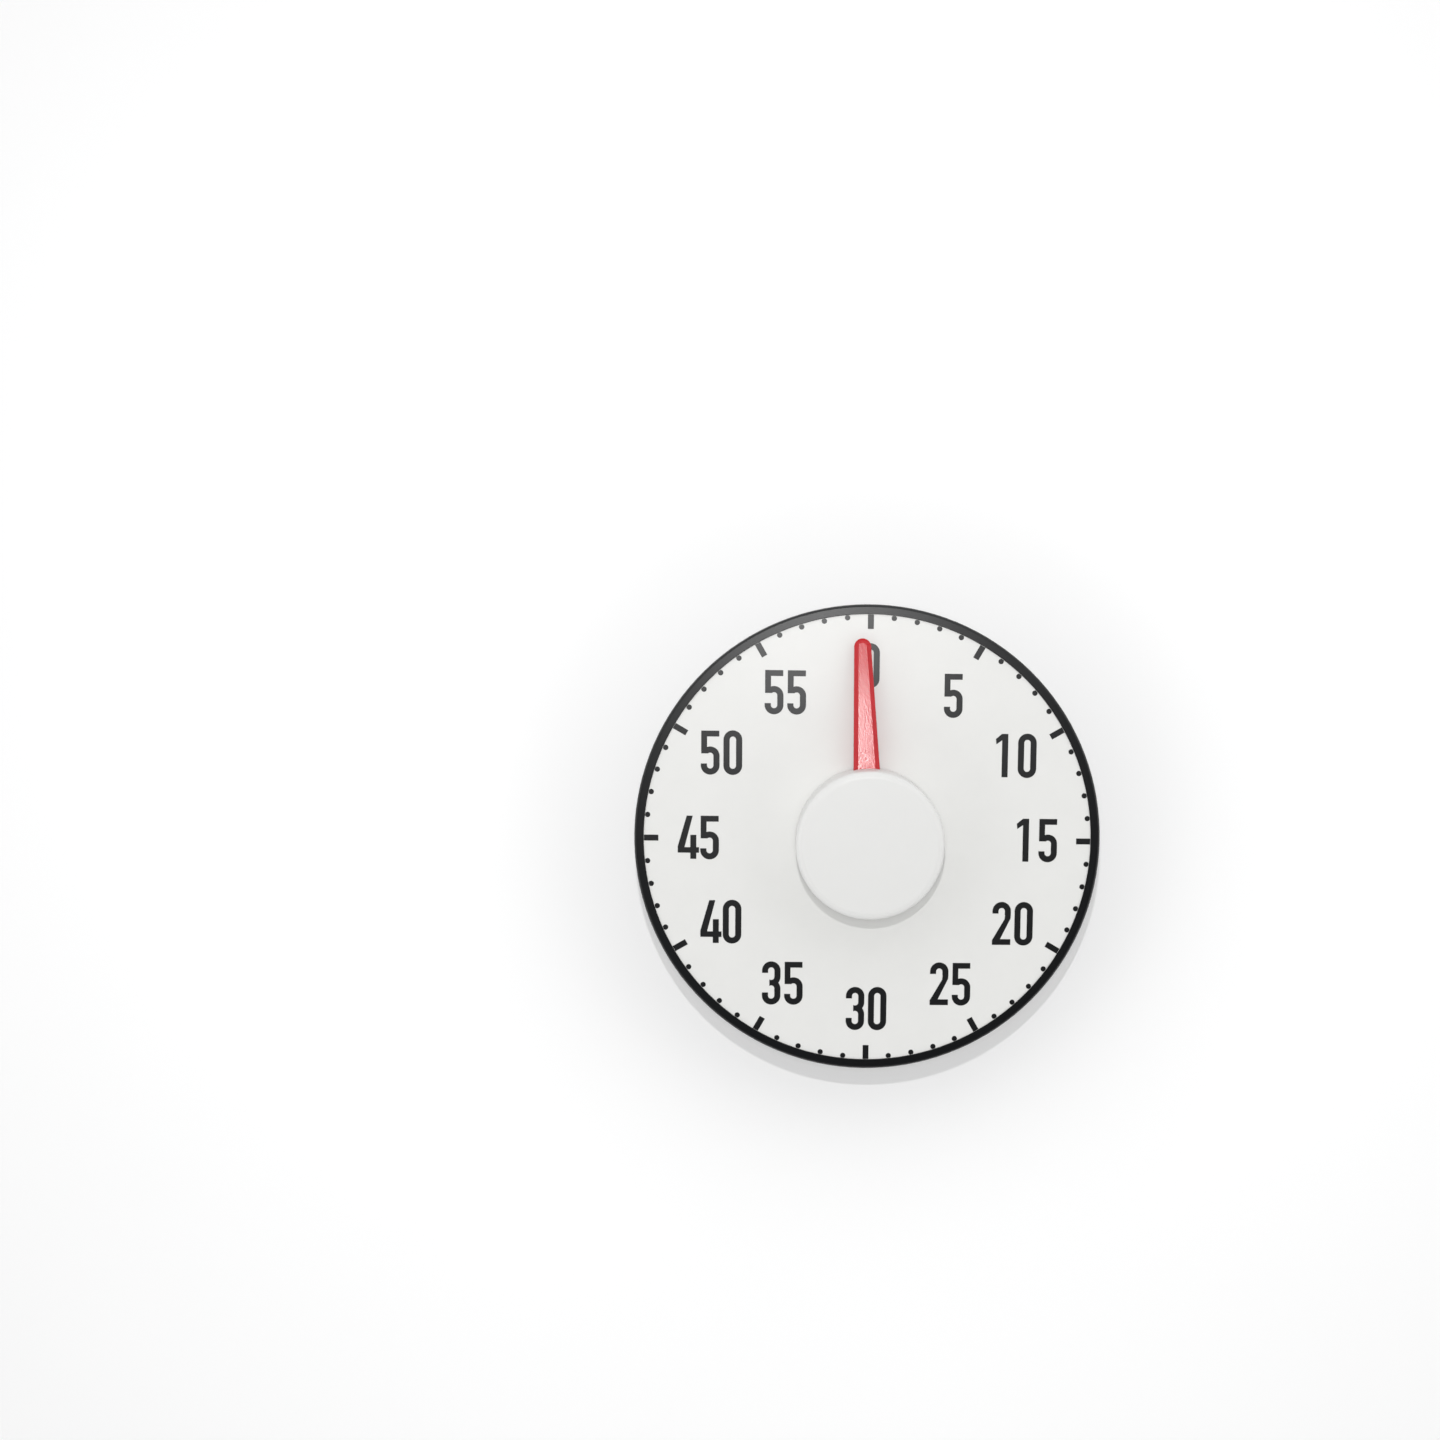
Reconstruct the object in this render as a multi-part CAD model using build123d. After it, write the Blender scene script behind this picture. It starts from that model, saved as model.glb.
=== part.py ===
from build123d import *
import os
from math import acos, atan2, cos, degrees, hypot, pi, radians, sin, sqrt, tan

# A mechanical one-hour kitchen timer, lying on its back. The dial faces +Z and its zero
# mark points to +Y. The origin is the centre of the flat back. All lengths are in mm.

os.makedirs("parts", exist_ok=True)

# ---- driving dimensions ----------------------------------------------------------------------

case_radius = 40.3
rim_width = 1.7
rim_height = 0.2
back_radius = 35.6
wall = 1.8
dial_top = 23.8
dial_thickness = 1.6
cover_thickness = 1.8

rear_plate_z = 9.8
front_plate_z = 19.6
plate_thickness = 0.8
plate_radius = 29.5

knob_radius = 12.5
knob_height = 11.8
knob_gap = 0.35
pointer_reach = 34.45
pointer_rest_deg = 2.4

fit = 0.02
running = 0.05
end_play = 0.15
pressure_deg = 25.0
leaf_count = 8
wheel_addendum = 0.7
leaf_addendum = 0.9
root_clearance = 0.2
tooth_thinning = 0.16

module_1 = 0.40
module_2 = 0.35
module_3 = 0.30
teeth_1 = 72
teeth_2 = 60
teeth_3 = 56
escape_teeth = 20
escape_radius = 6.0
strike_teeth = 10
strike_radius = 4.5
arbor_body = 0.8
pivot_radius = 0.45
pivot_through = 0.1
rim_of_wheel = 1.1

# ---- heights of the movement's levels (z of the lower face) ----------------------------------

rear_inside = rear_plate_z + plate_thickness
front_outside = front_plate_z + plate_thickness
dial_bottom = dial_top - dial_thickness
rim_top = dial_top + rim_height
knob_bottom = dial_top + knob_gap
knob_top = dial_top + knob_height

great_wheel_z = 17.7
great_wheel_thickness = 0.8
ratchet_z = 18.6
ratchet_thickness = 0.8
second_wheel_z = 16.2
third_wheel_z = 14.9
escape_wheel_z = 13.4
thin_wheel = 0.6
strike_wheel_z = 12.6
strike_thickness = 0.8
lever_z = 12.3
balance_z = 10.95
cam_z = 20.7
cam_thickness = 0.8
spring_z = 11.0
spring_height = 4.0


def polar(radius, angle_deg, centre=(0.0, 0.0)):
    """A point at a radius and an angle from a centre."""
    a = radians(angle_deg)
    return (centre[0] + radius * cos(a), centre[1] + radius * sin(a))


def bearing(a, b):
    """The angle in degrees of the line from a to b."""
    return degrees(atan2(b[1] - a[1], b[0] - a[0]))


def next_arbor(previous, centre_distance, radius):
    """The arbor that is centre_distance from the previous one and radius from the middle."""
    r0 = hypot(*previous)
    turn = degrees(acos((r0**2 + radius**2 - centre_distance**2) / (2 * r0 * radius)))
    return polar(radius, degrees(atan2(previous[1], previous[0])) + turn)


# ---- where the arbors stand ------------------------------------------------------------------

main_at = (0.0, 0.0)
second_at = polar((teeth_1 + leaf_count) * module_1 / 2, 140.0)
third_at = next_arbor(second_at, (teeth_2 + leaf_count) * module_2 / 2, 18.0)
escape_at = next_arbor(third_at, (teeth_3 + leaf_count) * module_3 / 2, 19.0)
pallet_span_deg = 4.5 * 360 / escape_teeth
pallet_distance = escape_radius / cos(radians(pallet_span_deg / 2))
pallet_at = next_arbor(escape_at, pallet_distance, 19.5)
balance_distance = 8.6
balance_at = next_arbor(pallet_at, balance_distance, 21.5)
hammer_at = polar(17.5, 99.0)
lever_at = (10.0, 9.8)
bell_at = (5.0, -3.0)

pillar_places = [polar(27.0, 115.0), polar(27.5, 232.0), polar(26.5, 310.0), polar(26.5, 10.0)]
dial_screw_places = [polar(26.0, a) for a in (60.0, 180.0, 300.0)]
back_screw_places = [polar(30.9, a) for a in (90.0, 210.0, 330.0)]
magnet_places = [(-24.0, 0.0), (24.0, 0.0)]


# ---- small helpers ---------------------------------------------------------------------------

on_base = (Align.CENTER, Align.CENTER, Align.MIN)


def rod(radius, z0, z1, at=(0.0, 0.0)):
    """A round rod along Z."""
    return Pos(at[0], at[1], z0) * Cylinder(radius, z1 - z0, align=on_base)


def slab(outline, z0, thickness, at=(0.0, 0.0)):
    """A flat sketch raised into a plate."""
    return Pos(at[0], at[1], z0) * extrude(outline, thickness)


def bar(a, b, half_width):
    """A flat strip with round ends from point a to point b."""
    length = hypot(b[0] - a[0], b[1] - a[1])
    middle = Pos((a[0] + b[0]) / 2, (a[1] + b[1]) / 2)
    return middle * Rot(0, 0, bearing(a, b)) * SlotCenterToCenter(length, 2 * half_width)


def turned(points):
    """A solid of revolution about Z from (radius, z) points."""
    profile = make_face(Polyline(*[(r, 0, z) for r, z in points], close=True))
    return revolve(profile, Axis.Z)


def group(solids):
    """Separate solids that share one node."""
    return Compound(children=solids)


def save(node, shape):
    """Write one node."""
    export_step(shape, f"parts/{node}.step")


# ---- gear teeth ------------------------------------------------------------------------------


def involute(angle):
    return tan(angle) - angle


def gear_outline(teeth, module, addendum, dedendum, phase_deg=0.0):
    """A spur gear's outline, with the middle of one tooth at phase_deg."""
    pitch_radius = teeth * module / 2
    base = pitch_radius * cos(radians(pressure_deg))
    tip = pitch_radius + addendum * module
    root = pitch_radius - dedendum * module
    half_at_pitch = (pi / 2 - tooth_thinning) / teeth + involute(radians(pressure_deg))

    def half_angle(radius):
        return degrees(half_at_pitch - involute(acos(min(1.0, base / radius))))

    start = max(base, root)
    middle = (start + tip) / 2
    edges = []
    step = 360 / teeth
    for i in range(teeth):
        a = phase_deg + i * step
        low, mid, high = half_angle(start), half_angle(middle), half_angle(tip)
        if root < start:
            edges.append(Line(polar(root, a - low), polar(start, a - low)))
        edges.append(ThreePointArc(polar(start, a - low), polar(middle, a - mid), polar(tip, a - high)))
        edges.append(ThreePointArc(polar(tip, a - high), polar(tip, a), polar(tip, a + high)))
        edges.append(ThreePointArc(polar(tip, a + high), polar(middle, a + mid), polar(start, a + low)))
        if root < start:
            edges.append(Line(polar(start, a + low), polar(root, a + low)))
        gap_middle = polar(root, a + step / 2)
        edges.append(ThreePointArc(polar(root, a + low), gap_middle, polar(root, a + step - low)))
    return make_face(Wire(edges))


def arms_cut(rim_inner, hub, arms, arm_width, phase_deg=0.0):
    """The windows between a wheel's arms."""
    windows = Circle(rim_inner) - Circle(hub)
    for i in range(arms):
        spoke = Pos(rim_inner / 2, 0) * Rectangle(rim_inner + 1, arm_width)
        windows -= Rot(0, 0, phase_deg + i * 360 / arms) * spoke
    return windows


def mesh_phase(phase_deg, teeth, other_teeth, line_deg):
    """Where the other gear's tooth must be for it to mesh along a line of centres."""
    step, other_step = 360 / teeth, 360 / other_teeth
    offset = ((phase_deg - line_deg) / step) % 1
    return line_deg + 180 + (0.5 - offset) * other_step


def train_wheel(teeth, module, z, thickness, at, hub):
    """A crossed-out brass wheel, with a tooth towards +X."""
    depth = leaf_addendum + root_clearance
    outline = gear_outline(teeth, module, wheel_addendum, depth)
    rim_inner = teeth * module / 2 - depth * module - rim_of_wheel
    outline -= arms_cut(rim_inner, hub, 4, 1.5)
    outline -= Circle(arbor_body + fit)
    return slab(outline, z, thickness, at)


def plain_arbor(at, radius):
    """An arbor with a pivot at each end."""
    arbor = rod(radius, rear_inside + end_play, front_plate_z - end_play, at)
    return arbor + rod(pivot_radius, rear_plate_z - pivot_through, front_outside + pivot_through, at)


def pinion_arbor(module, phase_deg, z0, z1, at):
    """A steel arbor with its pinion leaves."""
    depth = wheel_addendum + root_clearance
    outline = gear_outline(leaf_count, module, leaf_addendum, depth, phase_deg)
    return plain_arbor(at, arbor_body) + slab(outline, z0, z1 - z0, at)


# ---- case ------------------------------------------------------------------------------------


def case_ring():
    """The black moulded body: a tapered band with the rim that frames the dial."""
    outer = case_radius
    shelf = dial_bottom
    corner = 0.5
    shoulder = outer - 0.1
    widest_z = rim_top - 1.8
    rim_inner = outer - rim_width
    shelf_inner = 36.9
    inner_front = rim_inner - 1.0
    inner_back = back_radius - wall + 0.3
    lines = [
        Line((inner_back, 0.3), (back_radius - 1.0, 0.3)),
        ThreePointArc((back_radius - 1.0, 0.3), (back_radius - 0.2, 0.7), (back_radius, 1.5)),
        Line((back_radius, 1.5), (outer, widest_z)),
        Line((outer, widest_z), (shoulder, rim_top - corner)),
        ThreePointArc(
            (shoulder, rim_top - corner),
            (shoulder - corner * 0.293, rim_top - corner * 0.293),
            (shoulder - corner, rim_top),
        ),
        Line((shoulder - corner, rim_top), (rim_inner, rim_top)),
        Line((rim_inner, rim_top), (rim_inner, shelf)),
        Line((rim_inner, shelf), (shelf_inner, shelf)),
        Line((shelf_inner, shelf), (shelf_inner, shelf - 1.3)),
        Line((shelf_inner, shelf - 1.3), (inner_front, shelf - 1.3)),
        Line((inner_front, shelf - 1.3), (inner_back, 4.6)),
        Line((inner_back, 4.6), (inner_back - 1.3, 3.4)),
        Line((inner_back - 1.3, 3.4), (inner_back - 1.3, cover_thickness)),
        Line((inner_back - 1.3, cover_thickness), (inner_back, cover_thickness)),
        Line((inner_back, cover_thickness), (inner_back, 0.3)),
    ]
    ring = revolve(Plane.XZ * make_face(Wire(lines)), Axis.Z)
    for place in back_screw_places:
        angle = bearing(main_at, place)
        boss = rod(2.4, cover_thickness, 8.0, place)
        web = Pos(*polar(hypot(*place) + 1.6, angle), cover_thickness) * Rot(0, 0, angle) * Box(
            3.0, 2.0, 5.0, align=on_base
        )
        ring += boss + web
    for place in back_screw_places:
        ring -= rod(0.9, cover_thickness - 1, 7.0, place)
    return ring


def back_cover():
    """The flat rear plate with sound slots, screw holes and magnet pockets."""
    cover = rod(back_radius - wall + 0.3 - running, 0, cover_thickness)
    cover = chamfer(cover.edges().sort_by(Axis.Z)[0], 0.4)
    for place in magnet_places:
        cover += rod(8.4, cover_thickness - 0.2, 2.9, place)
    for place in magnet_places:
        cover -= rod(7.5 + fit, -1, 2.1, place)
    for place in back_screw_places:
        cover -= rod(1.25, -1, 5, place)
        cover -= rod(2.3, -1, 0.9, place)
    slot_field = 13.0
    slot_pitch = 4.0
    for i in range(-3, 4):
        y = i * slot_pitch
        length = 2 * sqrt((slot_field + 1) ** 2 - y**2)
        cover -= Pos(0, y, -1) * extrude(SlotOverall(length, 1.8), 5)
    return cover


def back_screws():
    """Three self-tapping screws with cross recesses."""
    screws = []
    for place in back_screw_places:
        screw = rod(2.1, 0.1, 0.9, place) + rod(0.9 - fit, 0.9, 6.5, place)
        for turn in (0, 90):
            screw -= Pos(*place, 0) * Rot(0, 0, turn + 20) * Box(2.2, 0.5, 1.0)
        screws.append(screw)
    return group(screws)


def magnets():
    """Two round magnets glued into the back."""
    return group([rod(7.5, 0.15, 2.1, place) for place in magnet_places])


# ---- dial ------------------------------------------------------------------------------------


def dial():
    """The white face plate, with the movement's posts, snap hooks and the stop rib behind."""
    plate = rod(case_radius - rim_width - running, dial_bottom, dial_top)
    for place in dial_screw_places:
        plate += rod(2.2, front_outside, dial_bottom + 0.1, place)
    for i in range(4):
        angle = 45 + i * 90
        stem = Pos(36.3, 0, 20.0) * Box(1.0, 5.0, dial_bottom + 0.1 - 20.0, align=on_base)
        barb = Pos(36.8, 0, 20.0) * Box(0.9, 5.0, 0.8, align=on_base)
        plate += Rot(0, 0, angle) * (stem + barb)
    plate += Rot(0, 0, stop_rib_deg) * Pos(6.5, 0, cam_z + cam_thickness + 0.1) * Box(
        1.6, 0.25, dial_bottom - cam_z - cam_thickness, align=on_base
    )
    for place in dial_screw_places:
        plate -= rod(0.85, front_outside - 1, dial_top - 0.6, place)
    plate -= rod(2.1, dial_bottom - 1, dial_top + 1)
    return plate


digit_height = 7.45
digit_width = 3.2
digit_stroke = 1.05
digit_pitch = 3.86
number_radius = 29.2
number_rise = 0.12
number_outset = {0: 0.5, 5: -0.6, 30: 0.5, 55: -0.3}
ink = 0.03


def loop_outline(low, high, stroke=digit_stroke):
    """A closed digit loop with round ends, between two heights."""
    height = high - low
    outer = SlotOverall(height, digit_width, rotation=90)
    inner = SlotOverall(height - 2 * stroke, digit_width - 2 * stroke, rotation=90)
    return Pos(digit_width / 2, (low + high) / 2) * (outer - inner)


def patch(x0, y0, x1, y1):
    """A rectangle given by two corners."""
    return Pos((x0 + x1) / 2, (y0 + y1) / 2) * Rectangle(abs(x1 - x0), abs(y1 - y0))


def shape_of(points):
    """A flat polygon, with its points in shares of the digit's width and height."""
    return make_face(Polyline(*[(x * digit_width, y * digit_height) for x, y in points], close=True))


def digit(character):
    """One numeral, drawn as bars, loops and slanted strokes of one width."""
    w, h, s = digit_width, digit_height, digit_stroke
    if character == "0":
        return loop_outline(-0.012 * h, 1.012 * h)
    if character == "1":
        return shape_of(
            [(0.34, 0), (0.667, 0), (0.667, 1), (0.33, 1), (0, 0.88), (0.033, 0.76), (0.34, 0.853)]
        )
    if character == "2":
        top = loop_outline(0.30 * h, 1.01 * h) - patch(-1, 0, w + 1, 0.70 * h)
        top -= patch(-1, 0, w / 2, 0.737 * h)
        leg = shape_of(
            [(1, 0.705), (0.985, 0.62), (0.435, 0.135), (1, 0.135), (1, 0)]
            + [(0, 0), (0, 0.11), (0.66, 0.60), (0.69, 0.705)]
        )
        return top + leg
    if character == "3":
        waist = 0.505 * h
        upper = loop_outline(0.43 * h, 1.01 * h) - patch(-1, -1, w + 1, waist)
        lower = loop_outline(-0.01 * h, 0.585 * h) - patch(-1, waist, w + 1, h + 1)
        return (upper + lower) - patch(-1, 0.276 * h, 0.40 * w, 0.739 * h)
    if character == "4":
        slope = shape_of([(0.477, 1), (0.80, 1), (0.36, 0.27), (0.36, 0.142), (0, 0.142), (0, 0.29)])
        bar_across = patch(0, 0.142 * h, 1.14 * w, 0.27 * h)
        post = patch(0.673 * w, 0, 0.993 * w, 0.556 * h)
        return slope + bar_across + post
    bowl = loop_outline(-0.01 * h, 0.637 * h) - patch(-1, 0.245 * h, 0.47 * w, 0.477 * h)
    bowl += patch(0.02 * w, h - s * 0.95, 0.98 * w, h)
    return bowl + patch(0.02 * w, 0.477 * h, 0.02 * w + s * 0.95, h)


def dial_marks():
    """The black printing: bars each five minutes, dots with stems between them, numbers."""
    edge = case_radius - rim_width - running - 0.05
    bar_start = 36.05
    bar_width = 1.02
    dot_radius = 0.46
    dot_place = 38.1
    stem_width = 0.4
    marks = []
    for minute in range(60):
        angle = 90 - 6 * minute
        if minute % 5 == 0:
            mark = Pos((bar_start + edge) / 2, 0) * Rectangle(edge - bar_start, bar_width)
        else:
            mark = Pos(dot_place, 0) * Circle(dot_radius) & Circle(edge)
            mark += Pos((dot_place + edge) / 2, 0) * Rectangle(edge - dot_place, stem_width)
        marks.append(Rot(0, 0, angle) * mark)
    for minute in range(0, 60, 5):
        x, y = polar(number_radius + number_outset.get(minute, 0), 90 - 6 * minute)
        y += number_rise
        text = str(minute)
        width = digit_pitch * (len(text) - 1) + digit_width
        for i, character in enumerate(text):
            left = x - width / 2 + i * digit_pitch
            marks.append(Pos(left, y - digit_height / 2) * digit(character))
    solids = []
    for mark in marks:
        solids += slab(mark, dial_top, ink).solids()
    return group(solids)


# ---- knob and pointer ------------------------------------------------------------------------

hub_radius = 3.6
arbor_front_radius = 1.6
arbor_flat = 1.0
clip_thickness = 0.3
knob_skirt = 1.6
pointer_bottom = dial_top + 0.8
pointer_root_height = 3.3
pointer_tip_height = 0.95
pointer_bevel = 0.7
pointer_root_width = 4.45
pointer_tip_width = 2.9


def pointer_outline(grow=0.0):
    """The hand seen from the front: a long taper with a round tip."""
    tip_radius = pointer_tip_width / 2 + grow
    root = pointer_root_width / 2 + grow
    slope = (pointer_root_width - pointer_tip_width) / 2 / (pointer_reach - tip_radius - knob_radius)
    start = 8.0
    start_half = root + slope * (knob_radius - start)
    end = pointer_reach - tip_radius
    lines = [
        Line((start, -start_half), (end, -tip_radius)),
        ThreePointArc((end, -tip_radius), (end + tip_radius, 0), (end, tip_radius)),
        Line((end, tip_radius), (start, start_half)),
        Line((start, start_half), (start, -start_half)),
    ]
    return make_face(Wire(lines))


def pointer_top(radius):
    """The height of the hand's top face, which falls towards the tip."""
    share = (radius - knob_radius) / (pointer_reach - knob_radius)
    fall = pointer_root_height - pointer_tip_height
    return pointer_bottom + pointer_root_height - fall * share


def pointer():
    """The red hand with the ring that sits inside the knob's skirt."""
    near, far = 7.0, pointer_reach + 1
    arm = slab(pointer_outline(), pointer_bottom, pointer_root_height + 1)
    above = make_face(
        Polyline(
            (near, 0, pointer_top(near)), (far, 0, pointer_top(far)), (far, 0, knob_top), (near, 0, knob_top),
            close=True,
        )
    )
    arm -= extrude(above, knob_radius, both=True)
    top_edges = arm.faces().sort_by(Axis.Z)[-1].edges()
    arm = chamfer(top_edges.filter_by(lambda e: e.center().X > 8.5), pointer_bevel)
    ring = rod(knob_radius - knob_skirt - running, pointer_bottom - 0.2, pointer_bottom + 1.4)
    ring -= rod(hub_radius + fit, 0, knob_top)
    shape = ring + (arm - rod(hub_radius + 1.0, 0, knob_top))
    return Rot(0, 0, 90 + pointer_rest_deg) * shape


def knob():
    """The plain white cap: a skirt, a flat top with a soft edge, and a hub for the arbor."""
    edge = 1.2
    draft = 0.1
    skirt = knob_skirt
    lines = [
        Line((0, knob_bottom + 0.5), (hub_radius, knob_bottom + 0.5)),
        Line((hub_radius, knob_bottom + 0.5), (hub_radius, knob_top - 1.8)),
        Line((hub_radius, knob_top - 1.8), (knob_radius - skirt - draft, knob_top - 1.8)),
        Line((knob_radius - skirt - draft, knob_top - 1.8), (knob_radius - skirt, knob_bottom)),
        Line((knob_radius - skirt, knob_bottom), (knob_radius, knob_bottom)),
        Line((knob_radius, knob_bottom), (knob_radius - draft, knob_top - edge)),
        ThreePointArc(
            (knob_radius - draft, knob_top - edge),
            (knob_radius - draft - edge * 0.293, knob_top - edge * 0.293),
            (knob_radius - draft - edge, knob_top),
        ),
        Line((knob_radius - draft - edge, knob_top), (0, knob_top)),
        Line((0, knob_top), (0, knob_bottom + 0.5)),
    ]
    cap = revolve(Plane.XZ * make_face(Wire(lines)), Axis.Z)
    bore_top = knob_top - 3.4
    bore = rod(arbor_front_radius + fit, 0, bore_top)
    bore -= Pos(arbor_flat + clip_thickness + 2 * fit + 2, 0, 0) * Box(4, 8, 100)
    bore += Pos(arbor_flat + clip_thickness / 2 + fit, 0, 0) * Box(
        clip_thickness + 2 * fit, 2.4, bore_top, align=on_base
    )
    notch_top = pointer_top(knob_radius - skirt - draft) + fit
    notch = slab(pointer_outline(fit), knob_bottom - 1, notch_top - knob_bottom + 1)
    notch -= rod(knob_radius - skirt - 0.5, 0, knob_top)
    return Rot(0, 0, 90 + pointer_rest_deg) * (cap - bore - notch)


def knob_clip():
    """The leaf spring that grips the arbor's flat inside the hub."""
    height = 6.0
    clip = Pos(arbor_flat + fit + clip_thickness / 2, 0, knob_top - 4.0 - height) * Box(
        clip_thickness, 2.3, height, align=on_base
    )
    return Rot(0, 0, 90 + pointer_rest_deg) * clip


# ---- movement frame --------------------------------------------------------------------------

hammer_length = 16.6
hammer_rest_deg = 11.0
hammer_swing_deg = 4.5
lever_drop_deg = 7.0
lever_pin_radius = 0.6
hammer_half_width = 0.9


def lever_pin_place():
    """The alarm lever's pin stands just below the hammer arm."""
    along = polar(5.15, hammer_rest_deg, hammer_at)
    return polar(hammer_half_width + lever_pin_radius + 0.12, hammer_rest_deg - 90, along)


def turned_about(point, centre, angle_deg):
    """A point turned about a centre."""
    radius = hypot(point[0] - centre[0], point[1] - centre[1])
    return polar(radius, bearing(centre, point) + angle_deg, centre)


def plate_outline():
    """A round stamped plate with two flats."""
    outline = Circle(plate_radius)
    outline -= Pos(-plate_radius - 8.0, 0) * Rectangle(20, 80)
    outline -= Pos(plate_radius + 8.0, 0) * Rectangle(20, 80)
    return outline


def frame_holes(hole):
    """Holes for the arbors' pivots and the pillars' screws."""
    cut = Pos(*second_at) * Circle(pivot_radius + running)
    for place in (third_at, escape_at, pallet_at, hammer_at):
        cut += Pos(*place) * Circle(pivot_radius + running)
    cut += Pos(*balance_at) * Circle(1.4 + fit)
    for place in pillar_places:
        cut += Pos(*place) * Circle(hole)
    return cut


def front_plate():
    """The steel plate behind the dial."""
    outline = plate_outline() - frame_holes(1.05)
    outline -= Circle(arbor_front_radius + running)
    for place in dial_screw_places:
        outline -= Pos(*place) * Circle(1.1)
    pin = lever_pin_place()
    pin_low = turned_about(pin, lever_at, lever_drop_deg)
    outline -= bar(polar(0.4, bearing(pin_low, pin), pin), polar(0.4, bearing(pin, pin_low), pin_low), 0.95)
    outline -= Pos(*lever_at) * Circle(0.8 + fit)
    outline -= Pos(*lever_spring_post_at) * Circle(0.6 + fit)
    outline -= Pos(*stud_at) * Circle(0.7 + fit)
    return slab(outline, front_plate_z, plate_thickness)


def rear_plate():
    """The steel plate at the back, slotted for the hammer's leg."""
    outline = plate_outline() - frame_holes(1.05)
    outline -= Circle(1.0 + running)
    rest = polar(hammer_length, hammer_rest_deg, hammer_at)
    struck = polar(hammer_length, hammer_rest_deg - hammer_swing_deg, hammer_at)
    outline -= bar(polar(0.5, bearing(struck, rest), rest), polar(0.5, bearing(rest, struck), struck), 1.3)
    outline -= Pos(*bell_at) * Circle(1.2 + fit)
    outline -= Pos(*spring_post_at) * Circle(0.6 + fit)
    return slab(outline, rear_plate_z, plate_thickness)


def pillars():
    """Four turned pillars that hold the plates apart."""
    posts = []
    for place in pillar_places:
        post = rod(1.7, rear_inside, front_plate_z, place)
        post -= rod(0.8, rear_inside - 1, front_plate_z + 1, place)
        posts.append(post)
    return group(posts)


def slotted_screw(place, head_radius, shank_radius, head_z, head_height, end_z, slot_deg):
    """A cheese-head screw along Z; its head may point either way."""
    head_top = head_z + head_height
    screw = rod(head_radius, head_z, head_top, place)
    screw += rod(shank_radius, min(head_z, end_z), max(head_top, end_z), place)
    outer = head_z if end_z > head_z else head_top
    return screw - Pos(*place, outer) * Rot(0, 0, slot_deg) * Box(2 * head_radius + 1, 0.5, 0.8)


def pillar_screws():
    """Screws through both plates into the pillars' ends."""
    screws = []
    for i, place in enumerate(pillar_places):
        turn = 25 + 40 * i
        shank = 0.8 - fit
        rear_head_z = rear_plate_z - 0.9
        screws.append(slotted_screw(place, 1.9, shank, front_outside, 0.9, front_plate_z - 3.0, turn))
        screws.append(slotted_screw(place, 1.9, shank, rear_head_z, 0.9, rear_inside + 3.0, turn))
    return group(screws)


def dial_screws():
    """Screws from inside the movement into the dial's posts."""
    screws = []
    head_z = front_plate_z - 0.8
    for i, place in enumerate(dial_screw_places):
        turn = 15 + 50 * i
        screws.append(slotted_screw(place, 1.8, 0.85 - fit, head_z, 0.8, dial_top - 1.0, turn))
    return group(screws)


# ---- main arbor, mainspring and great wheel --------------------------------------------------

spring_outer = 9.0
spring_post_at = polar(10.6, -62.0)
ratchet_teeth = 15
ratchet_tip = 5.0
ratchet_root = 4.2
click_stud_at = polar(8.6, 50.0)
stop_pin_radius = 0.3
stop_pin_deg = 200.0
stop_half_deg = degrees((stop_pin_radius + 0.125 + 0.03) / 6.5)
stop_rib_deg = stop_pin_deg + stop_half_deg


def main_arbor():
    """The steel arbor: rear pivot, body for the spring, front bearing and flatted nose."""
    arbor = rod(1.0, rear_plate_z - 0.2, rear_inside + 1)
    arbor += rod(2.0, rear_inside + end_play, front_plate_z - end_play)
    nose = rod(arbor_front_radius, front_plate_z - 1, knob_top - 3.6)
    flat = Pos(arbor_flat + 5, 0, knob_bottom + 0.3) * Box(10, 10, 20, align=on_base)
    nose -= Rot(0, 0, 90 + pointer_rest_deg) * flat
    return arbor + nose


def spiral_strip(inner, outer, turns, thickness, start_deg, per_turn=16):
    """A flat coil of strip, between its two bounding spirals."""
    steps = int(turns * per_turn)

    def edge(offset):
        points = []
        for i in range(steps + 1):
            share = i / steps
            points.append(polar(inner + (outer - inner) * share + offset, start_deg + 360 * turns * share))
        return points

    inside, outside = edge(-thickness / 2), edge(thickness / 2)
    lines = [
        Spline(*inside),
        Line(inside[-1], outside[-1]),
        Spline(*outside),
        Line(inside[0], outside[0]),
    ]
    return make_face(Wire(lines))


def mainspring():
    """The wound power spring, hooked to the arbor inside and to its post outside."""
    strip = spiral_strip(2.22, spring_outer - 0.2, 9.17, 0.3, 0.0)
    return slab(strip, spring_z, spring_height)


def spring_post():
    """The post that holds the mainspring's outer end."""
    post = rod(0.9, rear_inside, spring_z + spring_height + 0.6, spring_post_at)
    return post + rod(0.6, rear_plate_z, rear_inside, spring_post_at)


def ratchet_wheel():
    """A saw-toothed wheel fixed on the arbor."""
    step = 360 / ratchet_teeth
    points = []
    for i in range(ratchet_teeth):
        points.append(polar(ratchet_root, i * step + 1.0))
        points.append(polar(ratchet_tip, (i + 1) * step - 1.5))
        points.append(polar(ratchet_tip, (i + 1) * step))
    wheel = make_face(Polyline(*points, close=True)) - Circle(2.0 + fit)
    return slab(wheel, ratchet_z, ratchet_thickness)


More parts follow.
